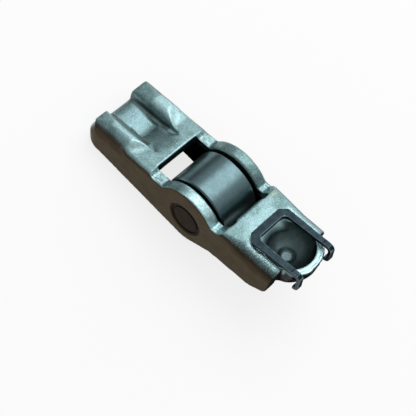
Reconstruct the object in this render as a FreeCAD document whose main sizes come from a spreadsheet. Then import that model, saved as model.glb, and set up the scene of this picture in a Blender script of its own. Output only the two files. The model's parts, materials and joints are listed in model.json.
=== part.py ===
# Roller finger follower: a pressed steel rocker arm with a needle-borne roller, a staked roller pin
# and a spring clip. Millimetres. The arm is drawn about its roller pin: X runs from the valve end
# (negative) to the ball socket end, Y across the arm, Z up out of the ball socket. Every piece then
# gets the same Placement, which lays the arm on its roller and on one end of its side walls.
import FreeCAD, Part
import math
import os

import Sketcher

SIZES = [
    ("arm_width", 16.0, "across the outer faces of the side walls"),
    ("gauge", 2.56, "thickness of the sheet"),
    ("bend_radius", 1.1, "outer radius where the web turns into a side wall"),
    ("rim_bend_radius", 2.4, "the same bend beside the ball socket, to which it widens"),
    ("valve_reach", 26.8, "pin axis to the valve end"),
    ("wall_past", 2.65, "socket axis to the end of the side walls"),
    ("nose_back", 0.9, "how far the end of the side walls falls back on its way down"),
    ("valve_deck", 4.9, "height of the web between roller window and valve pad"),
    ("front_deck", 5.8, "height of the web at the socket side of the window"),
    ("rim_height", 5.35, "height of the ball socket's rim"),
    ("rim_before", 2.75, "socket axis back to where the web has come down to the rim's height"),
    ("crest_height", 6.1, "height of the folded guide walls beside the valve pad"),
    ("crest_front", 17.5, "pin axis to where the guide walls start to drop"),
    ("crest_foot", 15.4, "pin axis to where the guide walls meet the web"),
    ("crest_inner_radius", 2.4, "rounding of the guide walls towards the valve"),
    ("crest_outer_radius", 2.4, "rounding of the guide walls towards the outside"),
    ("crest_end_radius", 1.5, "rounding of the guide walls' end"),
    ("crest_radius", 3.0, "rounding of the guide walls where they drop to the web"),
    ("end_corner_radius", 1.2, "rounding of the valve end's upright corners"),
    ("coin_length", 4.9, "length of the flat struck on top of each guide wall"),
    ("coin_drop", 0.55, "how far that flat falls towards the valve end"),
    ("deck_radius", 20.0, "rounding of the web's gentle bends"),
    ("window_rear", 10.3, "pin axis to the valve side of the roller window"),
    ("window_front", 8.85, "pin axis to the middle of the window's socket side"),
    ("relief_depth", 0.5, "depth of the window's corner reliefs"),
    ("relief_half", 3.3, "half the straight stretch between the reliefs"),
    ("notch_height", 4.2, "height of the sheared notches beside the cheeks"),
    ("notch_rear", 9.5, "pin axis to the foot of the rear notch's face"),
    ("notch_front", 7.9, "pin axis to the foot of the front notch's face"),
    ("cheek_radius", 7.85, "radius of the side walls round the pin"),
    ("belly_height", 6.57, "pin axis down to the side walls' lowest corner"),
    ("belly_shift", 0.2, "how far that corner lies towards the socket"),
    ("belly_radius", 6.0, "rounding of that corner"),
    ("tail_height", 1.75, "pin axis down to the side walls' corner at the valve end"),
    ("tail_radius", 2.4, "rounding of that corner"),
    ("waist_reach", 7.0, "pin axis to where the lower edge flattens out"),
    ("waist_height", 3.85, "pin axis down to that point"),
    ("heel_before", 2.15, "socket axis back to where the lower edge turns up"),
    ("heel_height", 3.35, "pin axis down to that point"),
    ("nose_height", 1.2, "pin axis down to the side walls' corner at the socket end"),
    ("nose_radius", 1.8, "rounding of that corner"),
    ("guide_width", 6.2, "between the guide walls"),
    ("guide_tail", 2.9, "height of the web at its valve end"),
    ("guide_crown", 24.4, "pin axis to the crown of the strips and the pad"),
    ("guide_slope", 19.6, "pin axis to where both start to dip before the web"),
    ("guide_turn", 16.6, "pin axis to where the dip turns up to the web"),
    ("guide_front", 14.0, "pin axis to where the guide runs out on the web"),
    ("guide_end_radius", 4.0, "rounding from the valve end up to the crown"),
    ("guide_radius", 22.0, "radius of the crowned strips and pad"),
    ("dip_radius", 3.75, "radius of the dip"),
    ("run_radius", 7.8, "rounding where the dip runs out on the web"),
    ("strip_crown_height", 4.1, "height of the crown of the strips beside the pad"),
    ("strip_slope_height", 3.95, "their height where they start to dip"),
    ("strip_turn_height", 4.25, "their height where they turn up"),
    ("pad_width", 4.5, "width of the ground valve pad"),
    ("pad_crown_height", 3.7, "height of the valve pad's crown"),
    ("pad_slope_height", 3.15, "its height where it starts to dip"),
    ("pad_turn_height", 3.75, "its height where it turns up"),
    ("socket_reach", 19.75, "pin axis to the ball socket's axis"),
    ("cup_radius", 7.1, "outer radius of the drawn cup"),
    ("ball_radius", 5.4, "radius of the ball socket"),
    ("ball_height", 6.6, "height of the ball's centre"),
    ("tongue_half", 4.9, "half width of the cup where it stands past the side walls"),
    ("dimple_radius", 1.05, "radius of the dimple's flat"),
    ("dimple_mouth", 1.85, "radius of the dimple's mouth"),
    ("dimple_floor", 0.8, "height of the dimple's flat"),
    ("dimple_top", 1.5, "height of the dimple's mouth"),
    ("pin_radius", 3.98, "radius of the roller pin"),
    ("pin_sink", 0.12, "how far the pin's ends lie below the side walls"),
    ("pin_fit", 0.01, "radial room for the pin in the side walls"),
    ("stake_inner", 3.05, "inner radius of the stake ring"),
    ("stake_outer", 3.55, "outer radius of the stake ring"),
    ("stake_depth", 0.2, "depth of the stake ring"),
    ("needle_radius", 0.8, "radius of a needle roller"),
    ("needle_play", 0.02, "radial room on each side of a needle"),
    ("needle_end_room", 0.28, "room between a needle's end and the roller's face"),
    ("roller_radius", 7.6, "radius of the roller"),
    ("roller_room", 0.71, "room between the roller and each side wall"),
    ("roller_chamfer", 0.3, "chamfer of the roller's rims"),
    ("clip_gauge", 0.8, "thickness of the clip's strip"),
    ("clip_lift", 0.05, "room between the clip's crossbar and the web"),
    ("clip_before", 6.55, "socket axis back to the clip's crossbar"),
    ("clip_bar", 1.8, "width of the crossbar"),
    ("clip_half", 5.3, "half the clip's width at the crossbar"),
    ("clip_half_end", 5.1, "half the clip's width at its legs"),
    ("clip_strip", 1.5, "width of the clip's arms"),
    ("clip_strip_end", 1.2, "width of the clip's legs"),
    ("clip_corner", 1.4, "size of the crossbar's cut corners"),
    ("clip_rise", 3.2, "slope of the clip's arms in degrees"),
    ("clip_back", 1.0, "front of the cup back to the inside of the clip's legs"),
    ("clip_bend_radius", 1.3, "outer radius of the clip's bends"),
    ("clip_bend_inside", 0.5, "inner radius of its upper bend"),
    ("clip_foot_height", 2.2, "height of the underside of the clip's feet"),
    ("clip_foot_length", 1.4, "length of the clip's feet"),
    ("edge_round", 0.35, "rounding of sheared edges"),
    ("far_out", 40.0, "a reach that clears the whole arm, for cuts"),
]
NEEDLE_COUNT = 18

doc = FreeCAD.newDocument("RollerFingerFollower")
sheet = doc.addObject("Spreadsheet::Sheet", "Sizes")
for row, (alias, number, note) in enumerate(SIZES, 1):
    sheet.set(f"A{row}", note)
    sheet.set(f"B{row}", str(number))
    sheet.setAlias(f"B{row}", alias)
doc.recompute()


def value(expression):
    """What an expression over the sheet's sizes comes to."""
    return float(sheet.evalExpression(expression))


def size(alias):
    """A driving dimension's value, read from the sheet."""
    return value(f"Sizes.{alias}")


def bind(thing, **expressions):
    """Binds properties to expressions; a double underscore in a name stands for a dot."""
    for name, expression in expressions.items():
        thing.setExpression(name.replace("__", "."), expression)


def new_body(label):
    body = doc.addObject("PartDesign::Body", label)
    body.Label = label
    return body


def origin_plane(body, role):
    return next(feature for feature in body.Origin.OriginFeatures if feature.Role == role)


def new_sketch(body, name, role):
    sketch = body.newObject("Sketcher::SketchObject", name)
    sketch.AttachmentSupport = [(origin_plane(body, role), "")]
    sketch.MapMode = "FlatFace"
    return sketch


def held(sketch, kind, *where, expression):
    """A sketch constraint whose value is bound to an expression."""
    index = sketch.addConstraint(Sketcher.Constraint(kind, *where, value(expression)))
    sketch.setExpression(f"Constraints[{index}]", expression)


def bow(start, end, radius, left):
    """An arc from start to end, turning to the left or to the right; sketches keep it anticlockwise."""
    chord = end - start
    middle = (start + end) * 0.5
    side = FreeCAD.Vector(-chord.y, chord.x, 0).normalize() * (1 if left else -1)
    centre = middle + side * math.sqrt(max(radius ** 2 - chord.Length ** 2 / 4, 0.0))
    angles = [math.atan2(point.y - centre.y, point.x - centre.x) for point in (start, end)]
    ring = Part.Circle(centre, FreeCAD.Vector(0, 0, 1), radius)
    return Part.ArcOfCircle(ring, *(angles if left else reversed(angles)))


def outline(sketch, corners, arcs=None):
    """A closed outline. corners maps names to pairs of expressions; arcs maps a corner's name to the
    radius of the arc that leaves it and to whether it turns left."""
    arcs = arcs or {}
    first = len(sketch.Geometry)
    names = list(corners)
    points = [FreeCAD.Vector(value(across), value(up), 0) for across, up in corners.values()]
    ends = []
    for k, name in enumerate(names):
        start, end = points[k], points[(k + 1) % len(points)]
        radius, left = arcs.get(name, (None, True))
        sketch.addGeometry(bow(start, end, value(radius), left) if radius else Part.LineSegment(start, end), False)
        ends.append((1, 2) if left else (2, 1))
    for k in range(len(names)):
        follower = (k + 1) % len(names)
        joined = Sketcher.Constraint("Coincident", first + k, ends[k][1], first + follower, ends[follower][0])
        sketch.addConstraint(joined)
    for k, name in enumerate(names):
        across, up = corners[name]
        held(sketch, "DistanceX", -1, 1, first + k, ends[k][0], expression=across)
        held(sketch, "DistanceY", -1, 1, first + k, ends[k][0], expression=up)
        if name in arcs:
            held(sketch, "Radius", first + k, expression=arcs[name][0])
    doc.recompute()
    return sketch


def polygon(body, name, role, corners):
    """A sketch with one closed outline."""
    return outline(new_sketch(body, name, role), corners)


def circle(sketch, radius):
    """A circle round the sketch's origin."""
    ring = Part.Circle(FreeCAD.Vector(), FreeCAD.Vector(0, 0, 1), value(radius))
    index = sketch.addGeometry(ring, False)
    sketch.addConstraint(Sketcher.Constraint("Coincident", index, 3, -1, 1))
    held(sketch, "Radius", index, expression=radius)


def extrude(body, kind, name, sketch, length=None):
    """A Pad or Pocket of equal depth to both sides of its sketch, or a Pocket through everything."""
    feature = body.newObject(f"PartDesign::{kind}", name)
    feature.Profile = sketch
    feature.SideType = "Symmetric"
    if length:
        feature.setExpression("Length", length)
    else:
        feature.Type = "ThroughAll"
    sketch.Visibility = False
    before = body.Shape.Volume if kind == "Pocket" else 0.0
    doc.recompute()
    if kind == "Pocket" and feature.Shape.Volume > before - 1e-6:
        raise RuntimeError(f"{name} cut nothing")
    return feature


def corner_loop(sketch, across, up, inward, below, radius):
    """A loop outside one convex corner: its arc touches the corner's two sides."""
    inner_x, outer_x = (f"{across} + {sign} * {radius}" for sign in (inward, -inward))
    inner_y, outer_y = (f"{up} + {sign} * {radius}" for sign in (below, -below))
    corners = {
        "side": (across, inner_y),
        "side_out": (outer_x, inner_y),
        "far": (outer_x, outer_y),
        "top_out": (inner_x, outer_y),
        "top": (inner_x, up),
    }
    outline(sketch, corners, {"top": (radius, inward * below < 0)})


def corner_cut(body, name, across, up, inward, below, radius):
    """Rounds one convex corner of the side view by cutting what lies outside an arc."""
    sketch = new_sketch(body, name + "View", "XZ_Plane")
    corner_loop(sketch, across, up, inward, below, radius)
    return extrude(body, "Pocket", name, sketch)


def cut_one_way(body, name, sketch, along=False):
    """A Pocket through everything on one side of its sketch: against the normal, or along it."""
    feature = body.newObject("PartDesign::Pocket", name)
    feature.Profile = sketch
    feature.Type = "ThroughAll"
    feature.Reversed = along
    sketch.Visibility = False
    before = body.Shape.Volume
    doc.recompute()
    if feature.Shape.Volume > before - 1e-6:
        raise RuntimeError(f"{name} cut nothing")
    return feature


def edges_of(feature, test):
    return [f"Edge{k}" for k, edge in enumerate(feature.Shape.Edges, 1) if test(edge)]


def dress(body, kind, name, feature, names, expression):
    """A Fillet or Chamfer on the named edges of a feature."""
    if not names:
        raise RuntimeError(f"{name} found no edge")
    finish = body.newObject(f"PartDesign::{kind}", name)
    finish.Base = (feature, names)
    finish.setExpression("Radius" if kind == "Fillet" else "Size", expression)
    doc.recompute()
    return finish


def across_at(x, z, reach=0.02):
    """Tests for an edge that runs across the arm at a place of the side view."""
    def test(edge):
        box = edge.BoundBox
        return (box.XLength < reach and box.ZLength < reach and box.YLength > 1
                and abs(box.XMin - x) < reach and abs(box.ZMin - z) < reach)
    return test


def corner_of(corners, name):
    """Where a named corner of an outline lies."""
    return tuple(value(expression) for expression in corners[name])


WALL_REACH = "(Sizes.socket_reach + Sizes.wall_past)"
RIM_START = "(Sizes.socket_reach - Sizes.rim_before)"
DECK_FRONT = "(Sizes.window_front + Sizes.relief_depth)"
CLIP_FRONT = "(Sizes.socket_reach - Sizes.clip_before)"
CLIP_LEG = "(Sizes.socket_reach + Sizes.cup_radius - Sizes.clip_back)"
ROLLER_WIDTH = "(Sizes.arm_width - 2 * Sizes.gauge - 2 * Sizes.roller_room)"
SIDE_VIEW = {
    "crest_tail": ("-Sizes.valve_reach", "Sizes.crest_height"),
    "crest_front": ("-Sizes.crest_front", "Sizes.crest_height"),
    "crest_foot": ("-Sizes.crest_foot", "Sizes.valve_deck"),
    "deck_rear": ("-Sizes.window_rear", "Sizes.valve_deck"),
    "deck_front": (DECK_FRONT, "Sizes.front_deck"),
    "rim_start": (RIM_START, "Sizes.rim_height"),
    "wall_end": (WALL_REACH, "Sizes.rim_height"),
    "nose": (f"{WALL_REACH} - Sizes.nose_back", "-Sizes.nose_height"),
    "heel": ("Sizes.socket_reach - Sizes.heel_before", "-Sizes.heel_height"),
    "waist": ("Sizes.waist_reach", "-Sizes.waist_height"),
    "belly": ("Sizes.belly_shift", "-Sizes.belly_height"),
    "tail": ("-Sizes.valve_reach", "-Sizes.tail_height"),
}
SIDE_ROUNDS = {
    "crest_radius": ("crest_front", "crest_foot", "heel", "waist"),
    "belly_radius": ("belly",),
    "nose_radius": ("nose",),
    "deck_radius": ("deck_rear", "deck_front", "rim_start"),
}
TAIL_EDGE_SLOPE = "(Sizes.belly_height - Sizes.tail_height) / (Sizes.valve_reach + Sizes.belly_shift)"
TAIL_BOTTOM = f"-Sizes.tail_height - Sizes.tail_radius * {TAIL_EDGE_SLOPE}"
NOTCH_VIEW = {
    "rear_top": ("-Sizes.window_rear", "Sizes.far_out"),
    "rear": ("-Sizes.window_rear", "Sizes.valve_deck"),
    "rear_foot": ("-Sizes.notch_rear", "Sizes.notch_height"),
    "front_foot": ("Sizes.notch_front", "Sizes.notch_height"),
    "front": (DECK_FRONT, "Sizes.front_deck"),
    "front_top": (DECK_FRONT, "Sizes.far_out"),
}
COIN_VIEW = {
    "start": ("-Sizes.valve_reach + Sizes.coin_length", "Sizes.crest_height"),
    "end": ("-Sizes.valve_reach", "Sizes.crest_height - Sizes.coin_drop"),
    "end_top": ("-Sizes.valve_reach", "Sizes.far_out"),
    "start_top": ("-Sizes.valve_reach + Sizes.coin_length", "Sizes.far_out"),
}
DECK_FALL = f"(Sizes.front_deck - Sizes.rim_height) / ({RIM_START} - {DECK_FRONT})"
CLIP_SEAT = f"Sizes.front_deck + Sizes.clip_lift - {DECK_FALL} * ({CLIP_FRONT} - {DECK_FRONT})"
CLIP_TOP = f"{CLIP_SEAT} + Sizes.clip_gauge + ({CLIP_LEG} - {CLIP_FRONT}) * tan(Sizes.clip_rise * 1 deg)"
CLIP_TOE = f"{CLIP_LEG} + Sizes.clip_gauge - Sizes.clip_foot_length"
LEG_VIEW = {
    "arm_top": (f"{CLIP_LEG} - Sizes.clip_strip", CLIP_TOP),
    "shoulder": (f"{CLIP_LEG} + Sizes.clip_gauge", CLIP_TOP),
    "ankle": (f"{CLIP_LEG} + Sizes.clip_gauge", "Sizes.clip_foot_height"),
    "toe": (CLIP_TOE, "Sizes.clip_foot_height"),
    "toe_top": (CLIP_TOE, "Sizes.clip_foot_height + Sizes.clip_gauge"),
    "instep": (CLIP_LEG, "Sizes.clip_foot_height + Sizes.clip_gauge"),
    "arm_pit": (CLIP_LEG, f"{CLIP_TOP} - Sizes.clip_gauge"),
    "arm_low": (f"{CLIP_LEG} - Sizes.clip_strip", f"{CLIP_TOP} - Sizes.clip_gauge"),
}
BETWEEN_VIEW = {
    "low_rear": ("0", "-Sizes.far_out"),
    "low_front": ("Sizes.far_out", "-Sizes.far_out"),
    "top_front": ("Sizes.far_out", "Sizes.far_out"),
    "top_rear": ("0", "Sizes.far_out"),
}
CLIP_LENGTH = f"({CLIP_LEG} - {CLIP_FRONT}) / cos(Sizes.clip_rise * 1 deg)"
FRAME_VIEW = {
    "bar_near": ("0", "-Sizes.clip_half + Sizes.clip_corner"),
    "corner_near": ("Sizes.clip_corner", "-Sizes.clip_half"),
    "end_near": (CLIP_LENGTH, "-Sizes.clip_half_end"),
    "end_near_in": (CLIP_LENGTH, "-Sizes.clip_half_end + Sizes.clip_strip_end"),
    "inner_near": ("Sizes.clip_bar + Sizes.clip_corner / 2", "-Sizes.clip_half + Sizes.clip_strip"),
    "bar_near_in": ("Sizes.clip_bar", "-Sizes.clip_half + Sizes.clip_strip + Sizes.clip_corner / 2"),
    "bar_far_in": ("Sizes.clip_bar", "Sizes.clip_half - Sizes.clip_strip - Sizes.clip_corner / 2"),
    "inner_far": ("Sizes.clip_bar + Sizes.clip_corner / 2", "Sizes.clip_half - Sizes.clip_strip"),
    "end_far_in": (CLIP_LENGTH, "Sizes.clip_half_end - Sizes.clip_strip_end"),
    "end_far": (CLIP_LENGTH, "Sizes.clip_half_end"),
    "corner_far": ("Sizes.clip_corner", "Sizes.clip_half"),
    "bar_far": ("0", "Sizes.clip_half - Sizes.clip_corner"),
}


def past_view(hand):
    """The plan view of what is cut from one flank of the cup, past the end of the side wall."""
    return {
        "root": (WALL_REACH, f"{hand} * Sizes.tongue_half"),
        "tip": ("Sizes.far_out", f"{hand} * Sizes.tongue_half"),
        "tip_out": ("Sizes.far_out", f"{hand} * Sizes.far_out"),
        "root_out": (WALL_REACH, f"{hand} * Sizes.far_out"),
    }


def cheek_view(hand):
    """Half the section of one cheek: its rim is rounded outside and chamfered towards the roller."""
    inner = "(Sizes.arm_width / 2 - Sizes.gauge)"
    return {
        "outer": (f"{hand} * Sizes.arm_width / 2", "0"),
        "outer_top": (f"{hand} * Sizes.arm_width / 2", "Sizes.cheek_radius - Sizes.edge_round"),
        "crown_outer": (f"{hand} * (Sizes.arm_width / 2 - Sizes.edge_round)", "Sizes.cheek_radius"),
        "crown_inner": (f"{hand} * ({inner} + Sizes.edge_round)", "Sizes.cheek_radius"),
        "inner_top": (f"{hand} * {inner}", "Sizes.cheek_radius - Sizes.edge_round"),
        "inner": (f"{hand} * {inner}", "0"),
    }


CHANNEL_VIEW = {
    "tail_top": ("-Sizes.far_out", "Sizes.guide_tail - Sizes.gauge"),
    "pad_front": ("-Sizes.guide_front - Sizes.gauge / 2", "Sizes.guide_tail - Sizes.gauge"),
    "deck_start": ("-Sizes.guide_front + Sizes.gauge / 2", "Sizes.valve_deck - Sizes.gauge"),
    "window_rear": ("-Sizes.window_rear + Sizes.gauge", "Sizes.valve_deck - Sizes.gauge"),
    "window_front": ("Sizes.window_front", "Sizes.front_deck - Sizes.gauge"),
    "rim_start": (RIM_START, "Sizes.rim_height - Sizes.gauge"),
    "nose_top": ("Sizes.far_out", "Sizes.rim_height - Sizes.gauge"),
    "nose_low": ("Sizes.far_out", "-Sizes.far_out"),
    "tail_low": ("-Sizes.far_out", "-Sizes.far_out"),
}
WINDOW_VIEW = {
    "rear_near": ("-Sizes.window_rear", "-Sizes.arm_width / 2 + Sizes.gauge"),
    "relief_near": (DECK_FRONT, "-Sizes.arm_width / 2 + Sizes.gauge"),
    "step_near": (DECK_FRONT, "-Sizes.relief_half - Sizes.relief_depth"),
    "middle_near": ("Sizes.window_front", "-Sizes.relief_half"),
    "middle_far": ("Sizes.window_front", "Sizes.relief_half"),
    "step_far": (DECK_FRONT, "Sizes.relief_half + Sizes.relief_depth"),
    "relief_far": (DECK_FRONT, "Sizes.arm_width / 2 - Sizes.gauge"),
    "rear_far": ("-Sizes.window_rear", "Sizes.arm_width / 2 - Sizes.gauge"),
}


def guide_cut(body, name, part, width):
    """Cuts down to the strips or to the pad between the guide walls, in one crowned and dipped sweep."""
    corners = {
        "tail": ("-Sizes.far_out", "Sizes.guide_tail"),
        "end": ("-Sizes.valve_reach", "Sizes.guide_tail"),
        "crown": ("-Sizes.guide_crown", f"Sizes.{part}_crown_height"),
        "slope": ("-Sizes.guide_slope", f"Sizes.{part}_slope_height"),
        "turn": ("-Sizes.guide_turn", f"Sizes.{part}_turn_height"),
        "front": ("-Sizes.guide_front", "Sizes.valve_deck"),
        "front_top": ("-Sizes.guide_front", "Sizes.far_out"),
        "tail_top": ("-Sizes.far_out", "Sizes.far_out"),
    }
    arcs = {
        "end": ("Sizes.guide_end_radius", False),
        "crown": ("Sizes.guide_radius", False),
        "slope": ("Sizes.dip_radius", True),
        "turn": ("Sizes.run_radius", False),
    }
    profile = outline(new_sketch(body, name + "View", "XZ_Plane"), corners, arcs)
    extrude(body, "Pocket", name, profile, width)


def section(body, name, reach):
    """A sketch across the arm at a distance from the pin axis."""
    sketch = new_sketch(body, name, "YZ_Plane")
    bind(sketch, AttachmentOffset__Base__z=reach)
    doc.recompute()
    return sketch


def widen_bends(body):
    """Widens the bend between web and side walls from the window on, and keeps it wide along the rim."""
    rim = section(body, "RimBendView", RIM_START)
    for name, hand in (("Near", -1), ("Far", 1)):
        wall = f"{hand} * Sizes.arm_width / 2"
        slim = section(body, f"SlimBend{name}View", "Sizes.window_front")
        corner_loop(slim, wall, f"Sizes.front_deck + {DECK_FALL} * Sizes.relief_depth", -hand, -1,
                    "Sizes.bend_radius")
        wide = section(body, f"WideBend{name}View", RIM_START)
        corner_loop(wide, wall, "Sizes.rim_height", -hand, -1, "Sizes.rim_bend_radius")
        corner_loop(rim, wall, "Sizes.rim_height", -hand, -1, "Sizes.rim_bend_radius")
        loft = body.newObject("PartDesign::SubtractiveLoft", f"WideningBend{name}")
        loft.Profile = slim
        loft.Sections = [wide]
        loft.Ruled = True
        doc.recompute()
    cut_one_way(body, "RimBends", rim, along=True)


def make_arm_body():
    """The pressed steel arm: web, side walls, folded guide walls, valve pad and ball socket."""
    body = new_body("arm_body")

    profile = polygon(body, "SideView", "XZ_Plane", SIDE_VIEW)
    blank = extrude(body, "Pad", "Blank", profile, "Sizes.arm_width")
    for alias, names in SIDE_ROUNDS.items():
        spots = [across_at(*corner_of(SIDE_VIEW, name)) for name in names]
        blank = dress(body, "Fillet", f"Round_{alias}", blank,
                      edges_of(blank, lambda edge: any(spot(edge) for spot in spots)), f"Sizes.{alias}")

    side = size("arm_width") / 2

    def on_bend(edge):
        box = edge.BoundBox
        flat = box.YLength < 1e-3 and abs(abs(box.YMin) - side) < 1e-3
        return flat and box.XLength > 0.3 and box.ZMin > size("valve_deck") - 0.3
    blank = dress(body, "Fillet", "Bends", blank, edges_of(blank, on_bend), "Sizes.bend_radius")
    corner_cut(body, "CrestEnd", "-Sizes.valve_reach", "Sizes.crest_height", 1, -1, "Sizes.crest_end_radius")
    corner_cut(body, "TailEnd", "-Sizes.valve_reach", TAIL_BOTTOM, 1, 1, "Sizes.tail_radius")

    notches = polygon(body, "NotchView", "XZ_Plane", NOTCH_VIEW)
    extrude(body, "Pocket", "Notches", notches)
    channel = polygon(body, "ChannelView", "XZ_Plane", CHANNEL_VIEW)
    extrude(body, "Pocket", "Channel", channel, "Sizes.arm_width - 2 * Sizes.gauge")
    window = polygon(body, "WindowView", "XY_Plane", WINDOW_VIEW)
    extrude(body, "Pocket", "Window", window)

    guide_cut(body, "Strips", "strip", "Sizes.guide_width")
    guide_cut(body, "ValvePad", "pad", "Sizes.pad_width")

    shoulders = section(body, "ShoulderView", "-Sizes.guide_front")
    flanks = section(body, "FlankView", "-Sizes.crest_foot")
    for hand in (-1, 1):
        corner_loop(shoulders, f"{hand} * Sizes.guide_width / 2", "Sizes.crest_height", hand, -1,
                    "Sizes.crest_inner_radius")
        corner_loop(flanks, f"{hand} * Sizes.arm_width / 2", "Sizes.crest_height", -hand, -1,
                    "Sizes.crest_outer_radius")
    cut_one_way(body, "Shoulders", shoulders)
    cut_one_way(body, "Flanks", flanks)
    corners = new_sketch(body, "EndCornerView", "XY_Plane")
    for hand in (-1, 1):
        corner_loop(corners, "-Sizes.valve_reach", f"{hand} * Sizes.arm_width / 2", 1, -hand,
                    "Sizes.end_corner_radius")
    extrude(body, "Pocket", "EndCorners", corners)
    coin = polygon(body, "CoinView", "XZ_Plane", COIN_VIEW)
    extrude(body, "Pocket", "Coin", coin)

    rims = new_sketch(body, "CheekView", "YZ_Plane")
    for hand in (1, -1):
        outline(rims, cheek_view(hand), {"outer_top": ("Sizes.edge_round", hand > 0)})
    cheeks = body.newObject("PartDesign::Revolution", "Cheeks")
    cheeks.Profile = rims
    cheeks.ReferenceAxis = (rims, ["H_Axis"])
    cheeks.Angle = 180
    cheeks.Midplane = True
    doc.recompute()

    cup = body.newObject("PartDesign::AdditiveSphere", "Cup")
    bind(cup, Radius="Sizes.cup_radius", Placement__Base__x="Sizes.socket_reach",
         Placement__Base__z="Sizes.rim_height")
    cup.Angle1 = -90
    cup.Angle2 = 0
    doc.recompute()
    past = new_sketch(body, "PastView", "XY_Plane")
    for hand in (1, -1):
        outline(past, past_view(hand))
    extrude(body, "Pocket", "PastWalls", past)
    widen_bends(body)
    ball = body.newObject("PartDesign::SubtractiveSphere", "Ball")
    bind(ball, Radius="Sizes.ball_radius", Placement__Base__x="Sizes.socket_reach",
         Placement__Base__z="Sizes.ball_height")
    dimple = body.newObject("PartDesign::SubtractiveCone", "Dimple")
    bind(dimple, Radius1="Sizes.dimple_radius", Radius2="Sizes.dimple_mouth",
         Height="Sizes.dimple_top - Sizes.dimple_floor", Placement__Base__x="Sizes.socket_reach",
         Placement__Base__z="Sizes.dimple_floor")
    doc.recompute()

    bore = new_sketch(body, "BoreView", "XZ_Plane")
    circle(bore, "Sizes.pin_radius + Sizes.pin_fit")
    extrude(body, "Pocket", "PinBore", bore)
    return body


def make_roller():
    """The hardened outer ring that the cam runs on."""
    body = new_body("roller")
    ring = new_sketch(body, "RingView", "XZ_Plane")
    circle(ring, "Sizes.roller_radius")
    circle(ring, "Sizes.pin_radius + 2 * Sizes.needle_radius + 2 * Sizes.needle_play")
    blank = extrude(body, "Pad", "Ring", ring, ROLLER_WIDTH)
    dress(body, "Chamfer", "Rims", blank, edges_of(blank, lambda edge: isinstance(edge.Curve, Part.Circle)),
          "Sizes.roller_chamfer")
    return body


def make_roller_pin():
    """The roller's pin, staked by a ring struck into each end."""
    body = new_body("roller_pin")
    rod = new_sketch(body, "RodView", "XZ_Plane")
    circle(rod, "Sizes.pin_radius")
    length = "Sizes.arm_width - 2 * Sizes.pin_sink"
    extrude(body, "Pad", "Rod", rod, length)
    for name, sign in (("StakeNear", 1), ("StakeFar", -1)):
        ring = new_sketch(body, name + "View", "XZ_Plane")
        bind(ring, AttachmentOffset__Base__z=f"{sign} * ({length}) / 2")
        circle(ring, "Sizes.stake_outer")
        circle(ring, "Sizes.stake_inner")
        doc.recompute()
        extrude(body, "Pocket", name, ring, "2 * Sizes.stake_depth")
    return body


def make_needle(number):
    """One flat-ended needle of the full complement round the pin."""
    body = new_body(f"needle_{number:02d}")
    rod = new_sketch(body, "NeedleView", "XZ_Plane")
    circle(rod, "Sizes.needle_radius")
    extrude(body, "Pad", "Needle", rod, f"{ROLLER_WIDTH} - 2 * Sizes.needle_end_room")
    orbit = FreeCAD.Vector(size("pin_radius") + size("needle_play") + size("needle_radius"), 0, 0)
    turn = FreeCAD.Rotation(FreeCAD.Vector(0, 1, 0), 360 * number / NEEDLE_COUNT)
    body.Placement = FreeCAD.Placement(turn.multVec(orbit), turn)
    return body


def make_retainer_clip():
    """The spring clip: a crossbar on the web, two arms over the cup and two hooked legs."""
    body = new_body("retainer_clip")
    legs = polygon(body, "LegView", "XZ_Plane", LEG_VIEW)
    blank = extrude(body, "Pad", "Legs", legs, "2 * Sizes.clip_half_end")
    for alias, names in (("clip_bend_radius", ("shoulder", "ankle")), ("clip_bend_inside", ("arm_pit",))):
        bends = [across_at(*corner_of(LEG_VIEW, name)) for name in names]
        blank = dress(body, "Fillet", f"Bend_{alias}", blank,
                      edges_of(blank, lambda edge: any(bend(edge) for bend in bends)), f"Sizes.{alias}")
    between = polygon(body, "BetweenView", "XZ_Plane", BETWEEN_VIEW)
    extrude(body, "Pocket", "Between", between, "2 * (Sizes.clip_half_end - Sizes.clip_strip_end)")
    frame = new_sketch(body, "FrameView", "XY_Plane")
    frame.AttachmentOffset = FreeCAD.Placement(FreeCAD.Vector(), FreeCAD.Rotation(FreeCAD.Vector(0, -1, 0), 1))
    bind(frame, AttachmentOffset__Base__x=CLIP_FRONT, AttachmentOffset__Base__z=CLIP_SEAT,
         AttachmentOffset__Rotation__Angle="Sizes.clip_rise * 1 deg")
    outline(frame, FRAME_VIEW)
    plate = body.newObject("PartDesign::Pad", "Frame")
    plate.Profile = frame
    plate.setExpression("Length", "Sizes.clip_gauge")
    doc.recompute()
    return body


def rest_slope():
    """How far the arm leans, in degrees, when its roller and its valve end stand on one floor."""
    radius = size("tail_radius")
    back = size("valve_reach") - radius
    down = -value(TAIL_BOTTOM) - radius
    return math.degrees(math.asin((size("roller_radius") - radius) / math.hypot(back, down)) - math.atan2(down, back))


def lay_down(pieces):
    """Gives every piece the one Placement that lays the assembly on a floor at Z = 0."""
    lean = FreeCAD.Placement(FreeCAD.Vector(), FreeCAD.Rotation(FreeCAD.Vector(0, 1, 0), -rest_slope()))
    for piece in pieces:
        piece.Placement = lean.multiply(piece.Placement)
    doc.recompute()
    box = Part.Compound([piece.Shape for piece in pieces]).optimalBoundingBox(False, False)
    shift = FreeCAD.Placement(FreeCAD.Vector(-box.Center.x, 0, size("roller_radius")), FreeCAD.Rotation())
    for piece in pieces:
        piece.Placement = shift.multiply(piece.Placement)
    doc.recompute()


arm_body = make_arm_body()
roller = make_roller()
roller_pin = make_roller_pin()
retainer_clip = make_retainer_clip()
needles = [make_needle(k + 1) for k in range(NEEDLE_COUNT)]
pieces = [arm_body, roller, roller_pin, retainer_clip, *needles]
lay_down(pieces)

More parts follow.
